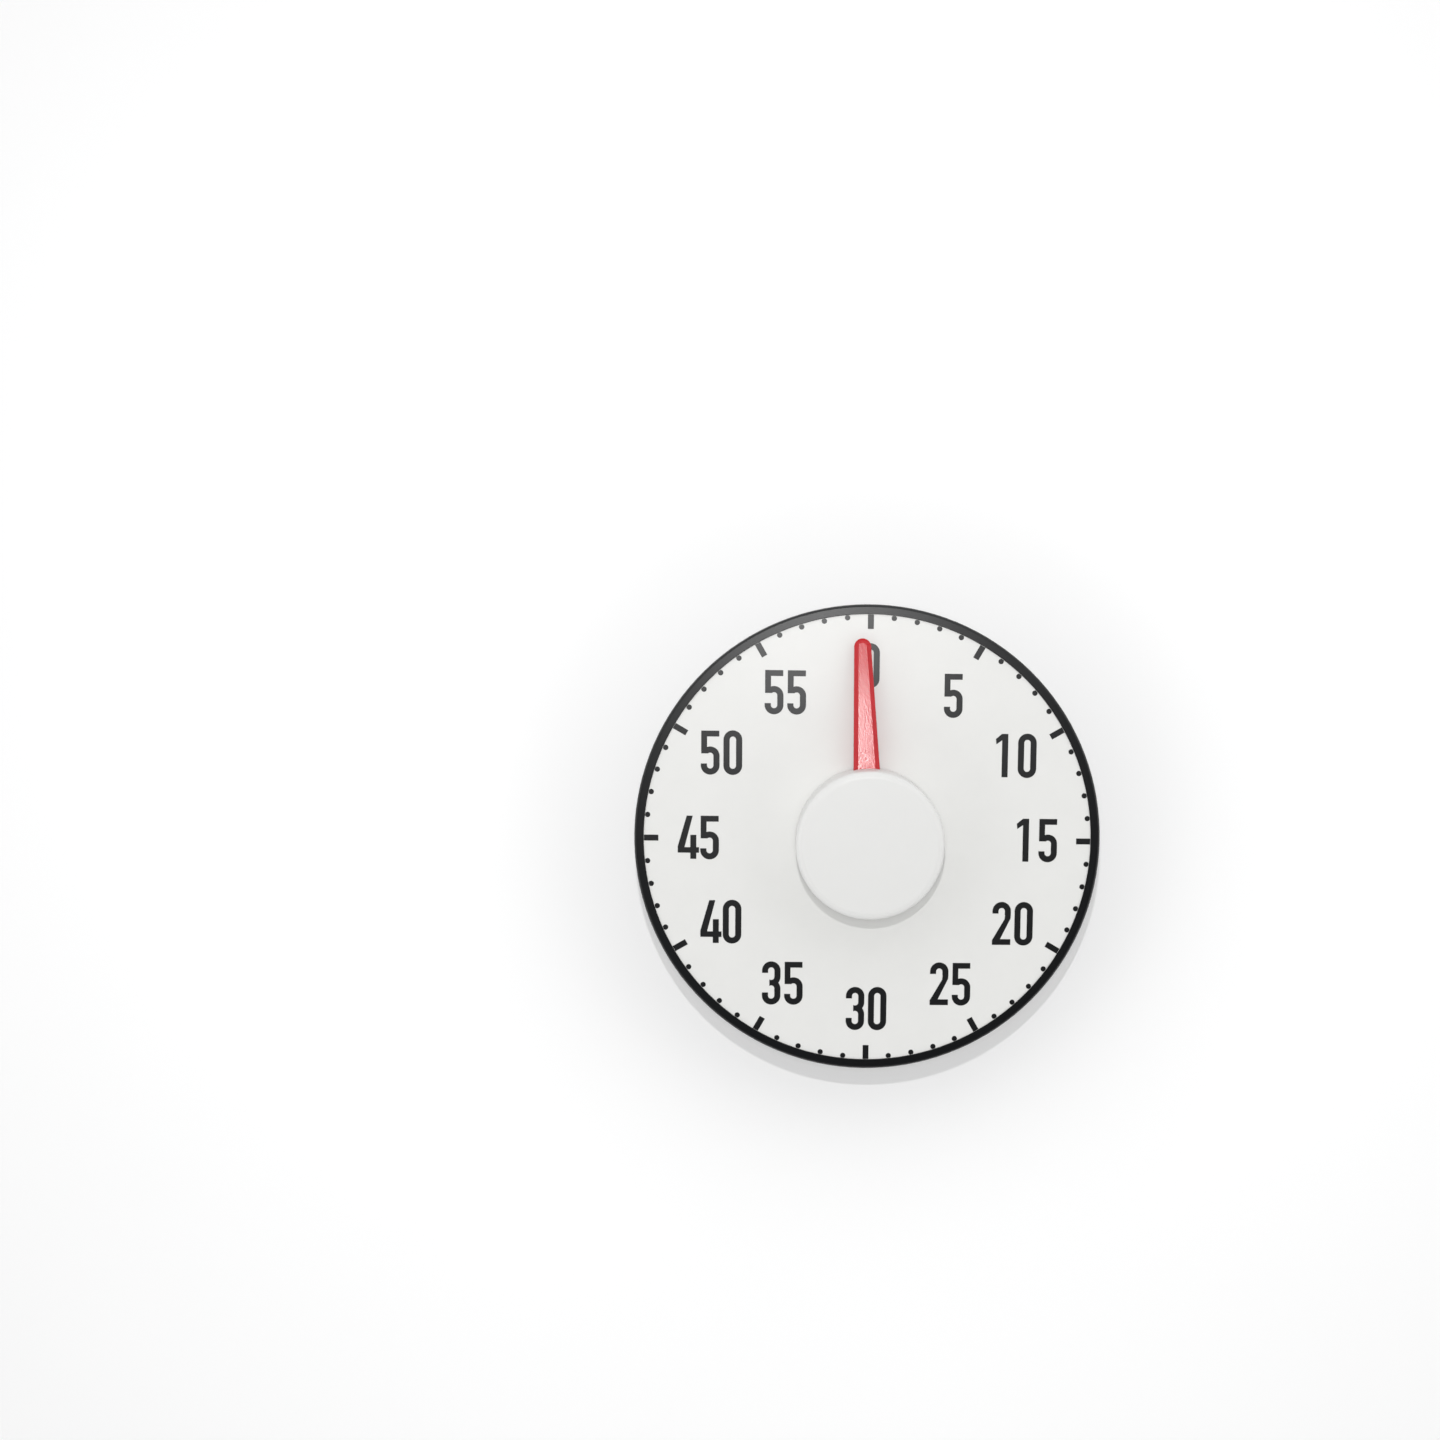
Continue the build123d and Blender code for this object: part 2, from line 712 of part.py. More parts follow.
def great_wheel():
    """The first wheel, free on the arbor and driven through the click."""
    outline = gear_outline(teeth_1, module_1, wheel_addendum, leaf_addendum + root_clearance, 0.0)
    outline -= Circle(2.0 + running)
    for i in range(5):
        outline -= Rot(0, 0, 50 + 36 + 72 * i) * (Pos(10.6, 0) * Circle(2.4))
    outline -= Pos(*click_stud_at) * Circle(0.6 + fit)
    outline -= Pos(*click_spring_post_at) * Circle(0.4 + fit)
    return slab(outline, great_wheel_z, great_wheel_thickness)


def wheel_collar():
    """The collar pressed on the arbor below the great wheel."""
    collar = rod(3.2, great_wheel_z - 0.8, great_wheel_z - 0.08)
    return collar - rod(2.0 + fit, 0, knob_top)


def click_stud():
    """The click's pivot, riveted in the great wheel."""
    stud = rod(0.6, great_wheel_z, great_wheel_z + great_wheel_thickness, click_stud_at)
    stud += rod(0.8, ratchet_z - 0.1, ratchet_z + ratchet_thickness + 0.02, click_stud_at)
    return stud


click_spring_post_at = polar(11.9, 22.0)


def click():
    """The pawl, resting in the ratchet's tooth."""
    nose = [
        polar(ratchet_root + 0.16, 1.6),
        polar(ratchet_tip + 0.9, 0.9),
        polar(8.9, 38.0),
        polar(7.5, 44.0),
        polar(5.75, 20.0),
        polar(4.75, 10.5),
    ]
    shape = make_face(Polyline(*nose, close=True)) + Pos(*click_stud_at) * Circle(1.7)
    shape -= Pos(*click_stud_at) * Circle(0.8 + running)
    return slab(shape, ratchet_z, ratchet_thickness)


def click_spring():
    """A bent leaf that presses the click into the teeth."""
    touch = polar(7.35, 14.0)
    leaf = bar(click_spring_post_at, touch, 0.12)
    spring = slab(leaf, ratchet_z + 0.1, 0.6)
    spring += rod(0.4, great_wheel_z, ratchet_z + 0.7, click_spring_post_at)
    return spring


# ---- going train -----------------------------------------------------------------------------

line_1 = bearing(main_at, second_at)
line_2 = bearing(second_at, third_at)
line_3 = bearing(third_at, escape_at)
phase_second_leaves = mesh_phase(0.0, teeth_1, leaf_count, line_1)
phase_third_leaves = mesh_phase(0.0, teeth_2, leaf_count, line_2)
phase_escape_leaves = mesh_phase(0.0, teeth_3, leaf_count, line_3)


def escape_wheel():
    """A thin brass wheel with slim pointed teeth, one on the line to the pallets."""
    line = bearing(escape_at, pallet_at)
    step = 360 / escape_teeth
    points = []
    for i in range(escape_teeth):
        a = line + i * step
        points.append(polar(escape_radius, a - 0.5))
        points.append(polar(escape_radius, a + 0.5))
        points.append(polar(4.8, a + 4.0))
        points.append(polar(4.6, a + 9.0))
        points.append(polar(4.8, a + step - 2.5))
    outline = make_face(Polyline(*points, close=True))
    outline -= arms_cut(3.7, 1.7, 4, 0.8)
    outline -= Circle(arbor_body + fit)
    return slab(outline, escape_wheel_z, thin_wheel, escape_at)


def strike_wheel():
    """The saw-toothed wheel that rocks the hammer while the alarm runs."""
    pallet = bearing(second_at, hammer_at) - 45.0
    step = 360 / strike_teeth
    points = []
    for i in range(strike_teeth):
        a = pallet + step / 2 + i * step
        points.append(polar(strike_radius, a - 2.0))
        points.append(polar(strike_radius, a + 2.0))
        points.append(polar(3.2, a + 6.0))
        points.append(polar(3.1, a + step - 14.0))
    outline = make_face(Polyline(*points, close=True)) - Circle(arbor_body + fit)
    return slab(outline, strike_wheel_z, strike_thickness, second_at)


# ---- escapement ------------------------------------------------------------------------------

pin_radius = 0.22
impulse_radius = 1.6
impulse_pin = 0.2


def pallet_pin_places():
    """The two pins stand just outside the wheel's tip circle when the lever is level."""
    line = bearing(escape_at, pallet_at)
    clear = escape_radius + pin_radius + 0.06
    return [polar(clear, line + side * pallet_span_deg / 2, escape_at) for side in (-1, 1)]


def pallet_lever():
    """The forked lever with its two arms."""
    first, second = pallet_pin_places()
    toward = bearing(pallet_at, balance_at)
    tip_distance = balance_distance - 1.74
    shape = bar(pallet_at, first, 0.65) + bar(pallet_at, second, 0.65) + Pos(*pallet_at) * Circle(1.5)
    neck_end = polar(tip_distance - 1.3, toward, pallet_at)
    shape += bar(pallet_at, neck_end, 0.6)
    head = Pos(*polar(tip_distance - 0.75, toward, pallet_at)) * Rot(0, 0, toward) * Rectangle(1.5, 2.5)
    notch = Pos(*polar(tip_distance, toward, pallet_at)) * Rot(0, 0, toward) * Rectangle(0.5, 1.42)
    shape = shape + head - notch
    shape -= Pos(*pallet_at) * Circle(0.6 + fit)
    for place in (first, second):
        shape -= Pos(*place) * Circle(pin_radius + fit)
    return slab(shape, lever_z, thin_wheel)


def pallet_pins():
    """Two hard steel pins."""
    pin_top = escape_wheel_z + thin_wheel + 0.2
    return group([rod(pin_radius, lever_z, pin_top, place) for place in pallet_pin_places()])


def balance_staff():
    """The balance's staff, with fine pivots that run in the pivot screws."""
    staff = rod(0.6, rear_inside + 0.35, front_plate_z - 0.35, balance_at)
    return staff + rod(0.3, rear_inside - 0.4, front_plate_z + 0.4, balance_at)


def pivot_screws():
    """Adjustable screws in the plates that carry the balance's pivots."""
    lower = rod(1.4, rear_plate_z - 0.6, rear_inside + 0.15, balance_at)
    lower -= rod(0.3 + running, rear_inside - 0.6, rear_inside + 1, balance_at)
    lower -= Pos(*balance_at, rear_plate_z - 0.6) * Box(4, 0.4, 0.8)
    upper = rod(1.4, front_plate_z - 0.15, front_outside + 0.5, balance_at)
    upper -= rod(0.3 + running, front_plate_z - 1, front_plate_z + 0.6, balance_at)
    upper -= Pos(*balance_at, front_outside + 0.5) * Box(4, 0.4, 0.6)
    return group([lower, upper])


def balance_wheel():
    """A heavy brass ring on three arms."""
    outline = Circle(7.2) - arms_cut(5.9, 1.6, 3, 1.2, 30.0) - Circle(0.6 + fit)
    return slab(outline, balance_z, 0.9, balance_at)


def roller():
    """The roller table with the impulse pin that works in the fork."""
    disc = rod(2.3, balance_z + 0.92, balance_z + 1.2, balance_at) - rod(0.6 + fit, 0, 30, balance_at)
    pin_at = polar(impulse_radius, bearing(balance_at, pallet_at), balance_at)
    return disc + rod(impulse_pin, balance_z + 1.1, lever_z + thin_wheel + 0.1, pin_at)


hairspring_z = 14.6
stud_at = polar(4.75, 150.0, balance_at)


def hairspring():
    """The balance spring, with its collet."""
    turns = 5 + 150 / 360
    coil = slab(spiral_strip(0.98, 4.2, turns, 0.12, 0.0, 20), hairspring_z, 0.6, balance_at)
    return coil


def hairspring_collet():
    """The brass collet that holds the hairspring's inner end."""
    collet = rod(0.9, hairspring_z - 0.1, hairspring_z + 0.8, balance_at)
    return collet - rod(0.6 + fit, 0, 30, balance_at)


def hairspring_stud():
    """The stud from the front plate that holds the hairspring's outer end."""
    stud = rod(0.48, hairspring_z - 0.2, front_plate_z, stud_at)
    return stud + rod(0.7, front_plate_z - 0.6, front_outside, stud_at)


# ---- alarm -----------------------------------------------------------------------------------

cam_radius = 7.0
finger_tip = cam_radius + 0.08
lever_thickness = 0.6
lever_level = cam_z + 0.1
lever_spring_post_at = (21.0, 4.6)


def alarm_cam():
    """The cam on the arbor, with the notch that lets the alarm lever drop at zero."""
    cam = Circle(cam_radius) - Circle(arbor_front_radius + fit)
    notch_from, notch_to = 96.0, 69.0
    notch = [
        polar(5.6, notch_from),
        polar(cam_radius + 1, notch_from),
        polar(cam_radius + 1, (notch_from + notch_to) / 2),
        polar(cam_radius + 1, notch_to),
        polar(5.6, notch_to),
        polar(5.6, (notch_from + notch_to) / 2),
    ]
    cam -= make_face(Polyline(*notch, close=True))
    for i in range(3):
        cam -= Rot(0, 0, 200 + i * 50) * (Pos(4.2, 0) * Circle(1.0))
    return slab(cam, cam_z, cam_thickness)


def stop_pin():
    """The pin on the cam that meets the dial's rib at both ends of the turn."""
    return rod(stop_pin_radius, cam_z + cam_thickness, dial_bottom - 0.12, polar(6.5, stop_pin_deg))


def alarm_lever():
    """The lever whose finger follows the cam and whose pin holds the hammer off."""
    corner = (0.0, lever_at[1])
    tail = (lever_at[0] + 4.6, lever_at[1])
    shape = bar(tail, corner, 0.8) + Pos(*lever_at) * Circle(2.0)
    shape += Pos(0, (corner[1] + finger_tip) / 2) * Rectangle(1.2, corner[1] - finger_tip)
    pin = lever_pin_place()
    shape += bar(lever_at, pin, 0.9)
    shape -= Pos(*lever_at) * Circle(1.0 + running)
    lever = slab(shape, lever_level, lever_thickness)
    return lever + rod(lever_pin_radius, rear_inside + 0.3, lever_level + 0.1, pin)


def lever_stud():
    """The shouldered stud that the alarm lever turns on."""
    shoulder = lever_level + lever_thickness + 0.1
    stud = rod(0.8, front_plate_z, front_outside, lever_at)
    stud += rod(1.0, front_outside, shoulder, lever_at)
    return stud + rod(1.7, shoulder, shoulder + 0.4, lever_at)


def lever_spring():
    """A leaf that lifts the lever's tail, so that the finger drops into the notch."""
    touch = (lever_at[0] + 4.4, lever_at[1] - 0.8 - 0.2)
    leaf = slab(bar(lever_spring_post_at, touch, 0.13), lever_level + 0.05, 0.5)
    return leaf + rod(0.6, front_plate_z, lever_level + 0.7, lever_spring_post_at)


def hammer():
    """The hammer: a flat arm, a leg through the rear plate and a round head."""
    head_at = polar(hammer_length, hammer_rest_deg, hammer_at)
    shape = bar(hammer_at, head_at, hammer_half_width) + Pos(*hammer_at) * Circle(1.6)
    shape -= Pos(*hammer_at) * Circle(arbor_body + fit)
    solid = slab(shape, rear_inside + 0.6, 0.8)
    solid += rod(0.8, 6.4, rear_inside + 1.4, head_at)
    return solid + rod(1.6, 6.2, 9.0, head_at)


def pallet_tips():
    """The verge's two tips, just outside the strike wheel's tip circle."""
    line = bearing(second_at, hammer_at)
    return [polar(strike_radius + 0.62, line + side * 45, second_at) for side in (-1, 1)]


def hammer_verge():
    """The two-armed verge that the strike wheel rocks."""
    shape = Pos(*hammer_at) * Circle(1.7)
    for place in pallet_tips():
        shape += bar(hammer_at, place, 0.5)
    shape -= Pos(*hammer_at) * Circle(arbor_body + fit)
    return slab(shape, strike_wheel_z + 0.1, 0.6)


# ---- bell ------------------------------------------------------------------------------------

bell_radius = 22.0
bell_thickness = 0.7
bell_base = 3.3
bell_rim = 8.6


def bell():
    """A shallow pressed steel dome, its mouth towards the movement."""
    t = bell_thickness
    lines = [
        Line((1.3, bell_base), (6.0, bell_base)),
        ThreePointArc((6.0, bell_base), (16.6, bell_base + 1.55), (bell_radius - 0.4, bell_rim - 0.9)),
        Line((bell_radius - 0.4, bell_rim - 0.9), (bell_radius, bell_rim - 0.5)),
        Line((bell_radius, bell_rim - 0.5), (bell_radius, bell_rim)),
        Line((bell_radius, bell_rim), (bell_radius - t, bell_rim)),
        ThreePointArc((bell_radius - t, bell_rim), (16.2, bell_base + 1.55 + t), (6.0, bell_base + t)),
        Line((6.0, bell_base + t), (1.3, bell_base + t)),
        Line((1.3, bell_base + t), (1.3, bell_base)),
    ]
    return Pos(*bell_at, 0) * revolve(Plane.XZ * make_face(Wire(lines)), Axis.Z)


def bell_post():
    """The post riveted in the rear plate that carries the bell."""
    post = rod(2.0, bell_base + bell_thickness, rear_plate_z, bell_at)
    post += rod(1.2, rear_plate_z - 0.5, rear_inside, bell_at)
    return post - rod(0.9, bell_base, bell_base + 4.0, bell_at)


def bell_screw():
    """The screw that holds the bell on its post."""
    return slotted_screw(bell_at, 2.4, 0.9 - fit, bell_base - 0.9, 0.9, bell_base + 4.0, 35.0)


# ---- write every node ------------------------------------------------------------------------

save("case_ring", case_ring())
save("back_cover", back_cover())
save("back_screws", back_screws())
save("magnets", magnets())
save("dial", dial())
save("dial_marks", dial_marks())
save("knob", knob())
save("pointer", pointer())
save("knob_clip", knob_clip())
save("front_plate", front_plate())
save("rear_plate", rear_plate())
save("pillars", pillars())
save("pillar_screws", pillar_screws())
save("dial_screws", dial_screws())
save("main_arbor", main_arbor())
save("mainspring", mainspring())
save("spring_post", spring_post())
save("ratchet_wheel", ratchet_wheel())
save("great_wheel", great_wheel())
save("wheel_collar", wheel_collar())
save("click_stud", click_stud())
save("click", click())
save("click_spring", click_spring())
save("second_pinion", pinion_arbor(module_1, phase_second_leaves, 17.3, 18.9, second_at))
save("second_wheel", train_wheel(teeth_2, module_2, second_wheel_z, 0.7, second_at, 2.0))
save("strike_wheel", strike_wheel())
save("third_pinion", pinion_arbor(module_2, phase_third_leaves, 15.7, 17.3, third_at))
save("third_wheel", train_wheel(teeth_3, module_3, third_wheel_z, thin_wheel, third_at, 1.8))
save("escape_pinion", pinion_arbor(module_3, phase_escape_leaves, 14.4, 15.9, escape_at))
save("escape_wheel", escape_wheel())
save("pallet_staff", plain_arbor(pallet_at, 0.6))
save("pallet_lever", pallet_lever())
save("pallet_pins", pallet_pins())
save("balance_staff", balance_staff())
save("pivot_screws", pivot_screws())
save("balance_wheel", balance_wheel())
save("roller", roller())
save("hairspring", hairspring())
save("hairspring_collet", hairspring_collet())
save("hairspring_stud", hairspring_stud())
save("alarm_cam", alarm_cam())
save("stop_pin", stop_pin())
save("alarm_lever", alarm_lever())
save("lever_stud", lever_stud())
save("lever_spring", lever_spring())
save("hammer", hammer())
save("hammer_arbor", plain_arbor(hammer_at, arbor_body))
save("hammer_verge", hammer_verge())
save("bell", bell())
save("bell_post", bell_post())
save("bell_screw", bell_screw())
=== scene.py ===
import math

import bmesh
import bpy
from mathutils import Matrix, Vector


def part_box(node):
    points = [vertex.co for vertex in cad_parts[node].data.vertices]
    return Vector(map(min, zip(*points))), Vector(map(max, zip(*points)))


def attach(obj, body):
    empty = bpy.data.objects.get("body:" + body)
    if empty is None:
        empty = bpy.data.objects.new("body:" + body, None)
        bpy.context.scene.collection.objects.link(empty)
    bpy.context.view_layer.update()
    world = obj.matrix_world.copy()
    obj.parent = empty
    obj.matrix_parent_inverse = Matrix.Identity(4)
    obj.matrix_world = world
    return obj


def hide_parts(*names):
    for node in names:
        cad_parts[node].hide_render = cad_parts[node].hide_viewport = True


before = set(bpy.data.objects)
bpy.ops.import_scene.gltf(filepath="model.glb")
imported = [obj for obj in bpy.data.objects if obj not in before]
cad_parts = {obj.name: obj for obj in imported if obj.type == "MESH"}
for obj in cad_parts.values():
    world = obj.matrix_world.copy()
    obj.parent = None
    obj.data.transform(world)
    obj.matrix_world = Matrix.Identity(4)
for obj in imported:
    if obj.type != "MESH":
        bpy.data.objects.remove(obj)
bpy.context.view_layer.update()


# ---- Case ring ------------------------------------------------------------------------
# The black moulded ABS band of the timer, with the narrow rim that stands round the dial.
# It tapers towards the back, where the rear cover is let into it and screwed on.

MM = 0.001
WELD = 0.0002 * MM
FLAT_WITHIN = 0.4
HEIGHT_STEP = 0.001 * MM


def smooth_with_breaks(work, angle):
    """Smooth shading, with hard breaks where two faces meet at more than the angle."""
    for edge in work.edges:
        if len(edge.link_faces) == 2:
            edge.smooth = edge.calc_face_angle(0.0) < math.radians(angle)
    for face in work.faces:
        face.smooth = True


def slopes(face):
    """True for a face that isn't level."""
    heights = [v.co.z for v in face.verts]
    return max(heights) - min(heights) > HEIGHT_STEP


def even_corner(work, inside, bottom, top):
    """Lays new faces over a rounded outer corner, between two heights, so that none dents in."""
    points = []
    for v in work.verts:
        outside = v.co.xy.length > inside - HEIGHT_STEP
        if outside and bottom - HEIGHT_STEP < v.co.z < top + HEIGHT_STEP:
            points.append(v)
    corner = set(points)
    old = [face for face in work.faces if corner.issuperset(face.verts) and slopes(face)]
    bmesh.ops.delete(work, geom=old, context="FACES_ONLY")
    hull = bmesh.new()
    copies = {}
    for point in points:
        copies[hull.verts.new(point.co)] = point
    bmesh.ops.convex_hull(hull, input=hull.verts)
    for face in hull.faces:
        if slopes(face):
            work.faces.new([copies[v] for v in face.verts])
    hull.free()
    bmesh.ops.delete(work, geom=[v for v in work.verts if not v.link_faces], context="VERTS")
    bmesh.ops.delete(work, geom=[e for e in work.edges if not e.link_faces], context="EDGES")


def soft_edged(
    node_name, material, body="case", radius=0.12, steps=3, corner=32.0, rim=None
):
    """The real piece behind a CAD node: the same form, with edges bent past the corner rounded."""
    work = bmesh.new()
    work.from_mesh(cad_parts[node_name].data)
    bmesh.ops.remove_doubles(work, verts=work.verts, dist=WELD)
    if rim:
        even_corner(work, *rim)
    bmesh.ops.dissolve_limit(
        work, angle_limit=math.radians(FLAT_WITHIN), verts=work.verts, edges=work.edges
    )
    sharp = []
    for edge in work.edges:
        if len(edge.link_faces) == 2 and edge.calc_face_angle(0.0) > math.radians(corner):
            sharp.append(edge)
    bmesh.ops.bevel(
        work,
        geom=sharp,
        offset=radius * MM,
        segments=steps,
        profile=0.5,
        affect="EDGES",
        clamp_overlap=True,
    )
    smooth_with_breaks(work, corner)
    mesh = bpy.data.meshes.new(node_name + "_piece")
    work.to_mesh(mesh)
    work.free()
    mesh.materials.append(material)
    piece = bpy.data.objects.new(node_name + "_piece", mesh)
    bpy.context.scene.collection.objects.link(piece)
    weighted = piece.modifiers.new("faces_stay_flat", "WEIGHTED_NORMAL")
    weighted.keep_sharp = True
    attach(piece, body)
    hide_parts(node_name)


def group_tree(name, inputs, outputs):
    """An empty shader group with named sockets."""
    tree = bpy.data.node_groups.new(name, "ShaderNodeTree")
    for label, kind, value in inputs:
        tree.interface.new_socket(label, in_out="INPUT", socket_type=kind).default_value = value
    for label, kind in outputs:
        tree.interface.new_socket(label, in_out="OUTPUT", socket_type=kind)
    return tree, tree.nodes.new("NodeGroupInput"), tree.nodes.new("NodeGroupOutput")


def node(tree, kind, **values):
    """A node with its settings; numbers and vectors go to input sockets by name."""
    made = tree.nodes.new(kind)
    for key, value in values.items():
        if key.startswith("set_"):
            setattr(made, key[4:], value)
        else:
            made.inputs[key.replace("_", " ")].default_value = value
    return made


def ramp(tree, source, low, high):
    """Maps low..high of a value to 0..1, held at both ends."""
    made = node(tree, "ShaderNodeMapRange", From_Min=low, From_Max=high)
    tree.links.new(source, made.inputs["Value"])
    return made.outputs["Result"]


def moulded_skin():
    """The skin of moulded plastic: fine spark grain, slow sink waves and a faint mottle."""
    tree, given, out = group_tree(
        "moulded_skin",
        [("Grain Size", "NodeSocketFloat", 6000.0), ("Depth", "NodeSocketFloat", 0.1)],
        [
            ("Mottle", "NodeSocketFloat"),
            ("Gloss Change", "NodeSocketFloat"),
            ("Normal", "NodeSocketVector"),
        ],
    )
    place = tree.nodes.new("ShaderNodeTexCoord")
    grain = node(tree, "ShaderNodeTexNoise", Detail=3.0, Roughness=0.6)
    slow = node(tree, "ShaderNodeTexNoise", Scale=60.0, Detail=2.0)
    patchy = node(tree, "ShaderNodeTexNoise", Scale=220.0, Detail=5.0, Roughness=0.65)
    for texture in (grain, slow, patchy):
        tree.links.new(place.outputs["Object"], texture.inputs["Vector"])
    tree.links.new(given.outputs["Grain Size"], grain.inputs["Scale"])
    wave = node(tree, "ShaderNodeBump", Strength=0.12, Distance=0.0004)
    tree.links.new(slow.outputs["Fac"], wave.inputs["Height"])
    bump = node(tree, "ShaderNodeBump", Distance=0.00004)
    tree.links.new(grain.outputs["Fac"], bump.inputs["Height"])
    tree.links.new(given.outputs["Depth"], bump.inputs["Strength"])
    tree.links.new(wave.outputs["Normal"], bump.inputs["Normal"])
    tree.links.new(bump.outputs["Normal"], out.inputs["Normal"])
    tree.links.new(ramp(tree, patchy.outputs["Fac"], 0.3, 0.7), out.inputs["Mottle"])
    tree.links.new(ramp(tree, grain.outputs["Fac"], 0.25, 0.75), out.inputs["Gloss Change"])
    return tree


def worn_edges():
    """A mask of edges rubbed by hands and tables, broken up by fine noise."""
    tree, given, out = group_tree(
        "worn_edges",
        [("Width", "NodeSocketFloat", 0.0003), ("Amount", "NodeSocketFloat", 0.5)],
        [("Wear", "NodeSocketFloat")],
    )
    soft = node(tree, "ShaderNodeBevel", set_samples=6)
    sharp = tree.nodes.new("ShaderNodeNewGeometry")
    place = tree.nodes.new("ShaderNodeTexCoord")
    speck = node(tree, "ShaderNodeTexNoise", Scale=900.0, Detail=6.0, Roughness=0.7)
    cross = node(tree, "ShaderNodeVectorMath", set_operation="DOT_PRODUCT")
    tree.links.new(given.outputs["Width"], soft.inputs["Radius"])
    tree.links.new(soft.outputs["Normal"], cross.inputs[0])
    tree.links.new(sharp.outputs["Normal"], cross.inputs[1])
    tree.links.new(place.outputs["Object"], speck.inputs["Vector"])
    bent = ramp(tree, cross.outputs["Value"], 0.999, 0.93)
    broken = ramp(tree, speck.outputs["Fac"], 0.42, 0.62)
    both = node(tree, "ShaderNodeMath", set_operation="MULTIPLY")
    tree.links.new(bent, both.inputs[0])
    tree.links.new(broken, both.inputs[1])
    scaled = node(tree, "ShaderNodeMath", set_operation="MULTIPLY")
    tree.links.new(both.outputs[0], scaled.inputs[0])
    tree.links.new(given.outputs["Amount"], scaled.inputs[1])
    tree.links.new(scaled.outputs[0], out.inputs["Wear"])
    return tree


SKIN = moulded_skin()
WORN = worn_edges()


# The colour sockets of a Mix node, which has one set of sockets for each kind of data.
MIX_FIRST = 6
MIX_SECOND = 7
MIX_RESULT = 2


def blended(tree, mask, first, second):
    """Two colours or sockets mixed by a mask."""
    mix = node(tree, "ShaderNodeMix", set_data_type="RGBA")
    tree.links.new(mask, mix.inputs["Factor"])
    for place, value in ((MIX_FIRST, first), (MIX_SECOND, second)):
        if isinstance(value, tuple):
            mix.inputs[place].default_value = (*value, 1.0)
        else:
            tree.links.new(value, mix.inputs[place])
    return mix.outputs[MIX_RESULT]


def grade(tree, source, low, high):
    """A 0..1 value spread over low..high."""
    made = node(tree, "ShaderNodeMapRange", To_Min=low, To_Max=high)
    tree.links.new(source, made.inputs["Value"])
    return made.outputs["Result"]


def plastic(name, base, other, worn, rough, grain=6000.0, depth=0.1, wear=0.5, shine=0.5):
    """Moulded plastic: two close colours mottled together, rubbed edges and a grained skin."""
    material = bpy.data.materials.new(name)
    material.use_nodes = True
    tree = material.node_tree
    shader = tree.nodes["Principled BSDF"]
    skin = tree.nodes.new("ShaderNodeGroup")
    skin.node_tree = SKIN
    skin.inputs["Grain Size"].default_value = grain
    skin.inputs["Depth"].default_value = depth
    edge = tree.nodes.new("ShaderNodeGroup")
    edge.node_tree = WORN
    edge.inputs["Width"].default_value = 0.3 * MM
    edge.inputs["Amount"].default_value = wear
    colour = blended(tree, skin.outputs["Mottle"], base, other)
    colour = blended(tree, edge.outputs["Wear"], colour, worn)
    tree.links.new(colour, shader.inputs["Base Color"])
    tree.links.new(grade(tree, skin.outputs["Gloss Change"], *rough), shader.inputs["Roughness"])
    tree.links.new(skin.outputs["Normal"], shader.inputs["Normal"])
    shader.inputs["Specular IOR Level"].default_value = shine
    return material


case_black = plastic(
    "case_black",
    base=(0.0015, 0.0018, 0.0024),
    other=(0.0025, 0.0030, 0.0038),
    worn=(0.012, 0.012, 0.013),
    rough=(0.31, 0.36),
    depth=0.12,
    shine=0.50,
)


def dress(material, *names):
    """Gives a material to CAD pieces that keep their shape."""
    for name in names:
        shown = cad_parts[name]
        shown.data.materials.clear()
        shown.data.materials.append(material)


rim_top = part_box("case_ring")[1].z
corner_depth = 0.5 * MM
corner_inside = 39.7 * MM
soft_edged(
    "case_ring",
    case_black,
    radius=0.15,
    corner=70.0,
    rim=(corner_inside, rim_top - corner_depth, rim_top),
)


# ---- Back cover -----------------------------------------------------------------------
# The flat matt black cover at the back, moulded with sound slots for the bell, countersinks
# for its three screws and pockets for the two magnets.

cover_black = plastic(
    "cover_black",
    base=(0.022, 0.022, 0.024),
    other=(0.030, 0.030, 0.032),
    worn=(0.080, 0.080, 0.082),
    rough=(0.50, 0.62),
    grain=3500.0,
    depth=0.5,
)
soft_edged("back_cover", cover_black, radius=0.25)


# ---- Back screws ------------------------------------------------------------------------
# Three countersunk cross-head screws of zinc-plated steel that hold the back cover to the
# case ring. The heads were cold-formed, so their faces carry fine turned lines.


